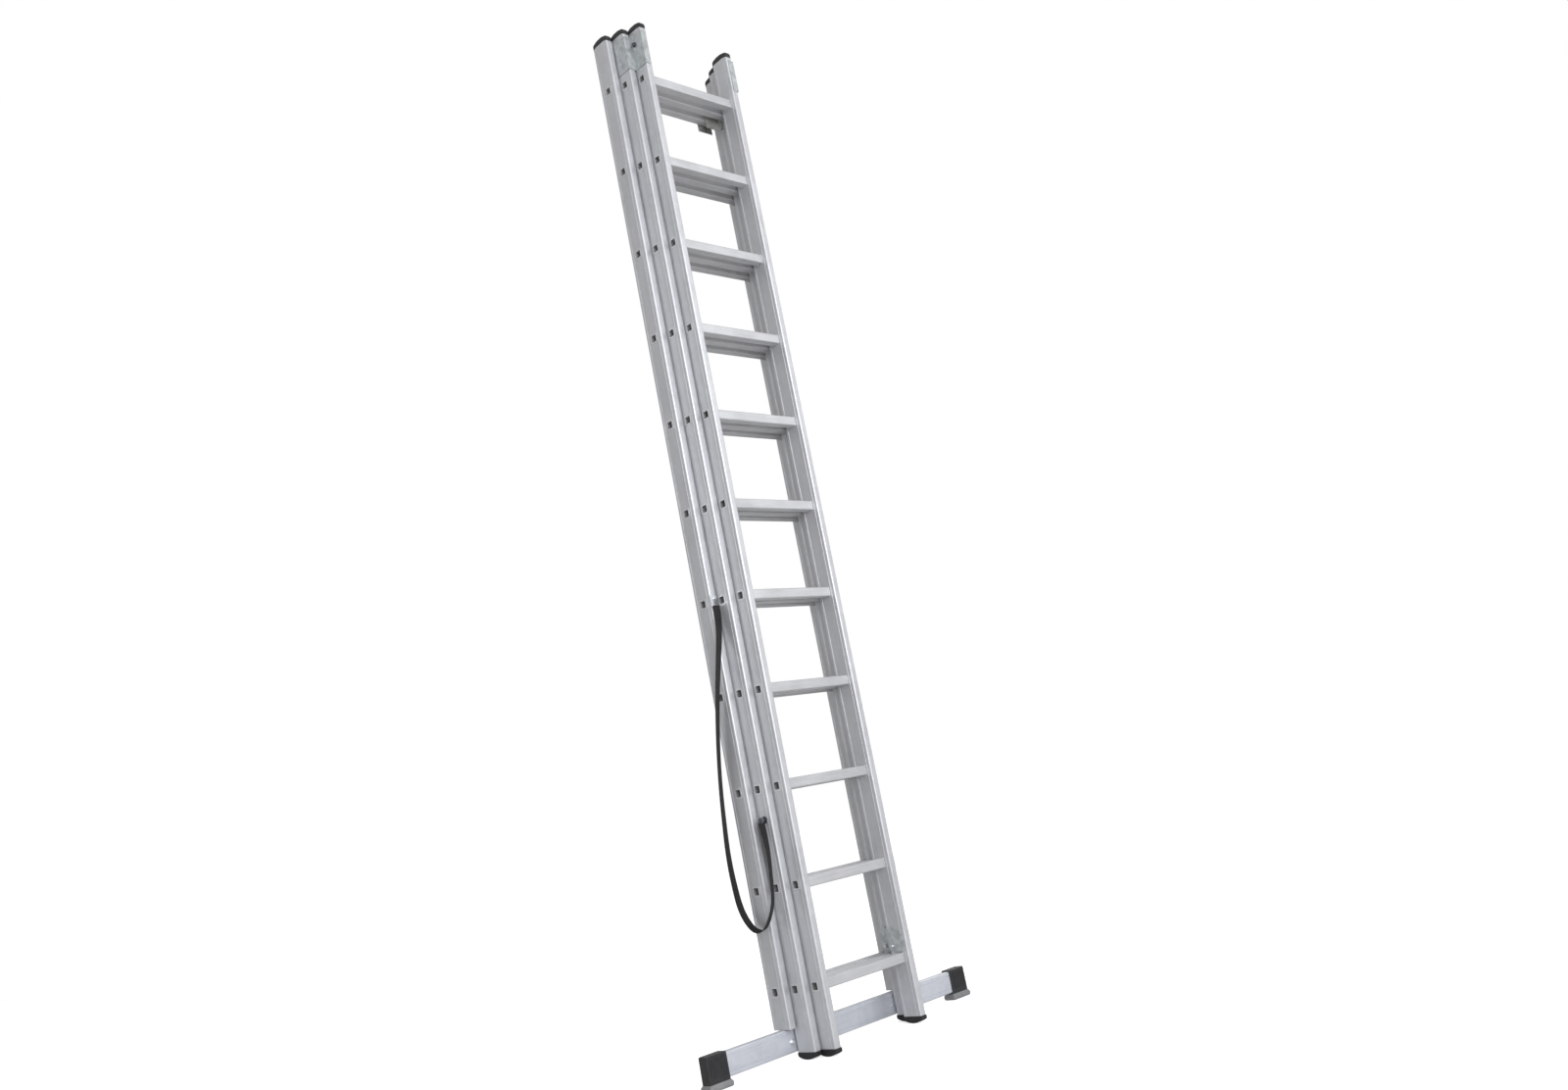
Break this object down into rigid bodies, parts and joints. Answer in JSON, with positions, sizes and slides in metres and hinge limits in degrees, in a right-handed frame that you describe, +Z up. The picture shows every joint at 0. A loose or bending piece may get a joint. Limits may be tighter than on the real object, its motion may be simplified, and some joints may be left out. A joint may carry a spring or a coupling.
{
  "type": "extension ladder",
  "caption": "Aluminium extension ladder in nested sections with a wide stabiliser bar, sliding sections, top hinge hooks and webbing spread straps.",
  "frame": {"origin": "on the ground, midway between the two stiles and midway through the nested depth", "axes": "+X along the rungs, -Y towards the climber, +Z up the stiles"},
  "size_m": [1.0994, 0.2054, 3.16],
  "materials": {
    "stile_aluminium": "mill-finish extruded aluminium with fine draw lines",
    "rung_aluminium": "ribbed extruded aluminium, bright on the tread",
    "bar_aluminium": "pale satin extruded aluminium",
    "galvanised_steel": "galvanised sheet steel, faint spangle",
    "black_rubber": "moulded black rubber",
    "grey_plastic": "moulded dark grey plastic",
    "black_webbing": "woven black polyester webbing"
  },
  "bodies": {
    "rear_section": {"rear_stile_left": "stile_aluminium", "rear_stile_right": "stile_aluminium", "rear_rung_01": "rung_aluminium", "rear_rung_02": "rung_aluminium", "rear_rung_03": "rung_aluminium", "rear_rung_04": "rung_aluminium", "rear_rung_05": "rung_aluminium", "rear_rung_06": "rung_aluminium", "rear_rung_07": "rung_aluminium", "rear_rung_08": "rung_aluminium", "rear_rung_09": "rung_aluminium", "rear_rung_10": "rung_aluminium", "rear_rung_11": "rung_aluminium", "stabiliser_bar": "bar_aluminium", "bar_spigot_left": "grey_plastic", "bar_spigot_right": "grey_plastic", "bar_end_cap_left": "grey_plastic", "bar_end_cap_right": "grey_plastic"},
    "hinge_carriage": {"hinge_hook_left": "galvanised_steel", "hinge_hook_right": "galvanised_steel", "hinge_rivet_left": "galvanised_steel", "hinge_rivet_right": "galvanised_steel"},
    "middle_section": {"middle_stile_left": "stile_aluminium", "middle_stile_right": "stile_aluminium", "middle_rung_01": "rung_aluminium", "middle_rung_02": "rung_aluminium", "middle_rung_03": "rung_aluminium", "middle_rung_04": "rung_aluminium", "middle_rung_05": "rung_aluminium", "middle_rung_06": "rung_aluminium", "middle_rung_07": "rung_aluminium", "middle_rung_08": "rung_aluminium", "middle_rung_09": "rung_aluminium", "middle_rung_10": "rung_aluminium", "middle_rung_11": "rung_aluminium", "middle_foot_left": "black_rubber", "middle_foot_right": "black_rubber", "top_guide_left": "galvanised_steel", "top_guide_right": "galvanised_steel", "spread_strap_left": "black_webbing", "spread_strap_right": "black_webbing"},
    "front_section": {"front_stile_left": "stile_aluminium", "front_stile_right": "stile_aluminium", "front_rung_01": "rung_aluminium", "front_rung_02": "rung_aluminium", "front_rung_03": "rung_aluminium", "front_rung_04": "rung_aluminium", "front_rung_05": "rung_aluminium", "front_rung_06": "rung_aluminium", "front_rung_07": "rung_aluminium", "front_rung_08": "rung_aluminium", "front_rung_09": "rung_aluminium", "front_rung_10": "rung_aluminium", "front_rung_11": "rung_aluminium", "front_foot_left": "black_rubber", "front_foot_right": "black_rubber"},
    "middle_lock_left": {"middle_lock_left": "galvanised_steel"},
    "middle_lock_right": {"middle_lock_right": "galvanised_steel"},
    "front_lock_left": {"front_lock_left": "galvanised_steel"},
    "front_lock_right": {"front_lock_right": "galvanised_steel"}
  },
  "joints": [
    {"name": "middle_slide", "type": "slide", "parent": "rear_section", "child": "hinge_carriage", "axis": [0, 0, 1], "range_m": [0, 1.96]},
    {"name": "a_frame_hinge", "type": "hinge", "parent": "hinge_carriage", "child": "middle_section", "pos_m": [0, 0.02385, 3.035], "axis": [-1, 0, 0], "range_deg": [0, 32]},
    {"name": "front_slide", "type": "slide", "parent": "middle_section", "child": "front_section", "axis": [0, 0, 1], "range_m": [0, 1.96]},
    {"name": "middle_lock_left_pivot", "type": "hinge", "parent": "middle_section", "child": "middle_lock_left", "pos_m": [-0.1962, 0.02035, 0.225], "axis": [-1, 0, 0], "range_deg": [0, 90]},
    {"name": "middle_lock_right_pivot", "type": "hinge", "parent": "middle_section", "child": "middle_lock_right", "pos_m": [0.1962, 0.02035, 0.225], "axis": [-1, 0, 0], "range_deg": [0, 90]},
    {"name": "front_lock_left_pivot", "type": "hinge", "parent": "front_section", "child": "front_lock_left", "pos_m": [-0.1682, -0.03215, 0.225], "axis": [-1, 0, 0], "range_deg": [0, 90]},
    {"name": "front_lock_right_pivot", "type": "hinge", "parent": "front_section", "child": "front_lock_right", "pos_m": [0.1682, -0.03215, 0.225], "axis": [-1, 0, 0], "range_deg": [0, 90]}
  ],
  "couplings": [
    {"joint": "middle_lock_right_pivot", "follows": "middle_lock_left_pivot", "ratio": 1},
    {"joint": "front_lock_right_pivot", "follows": "front_lock_left_pivot", "ratio": 1}
  ]
}
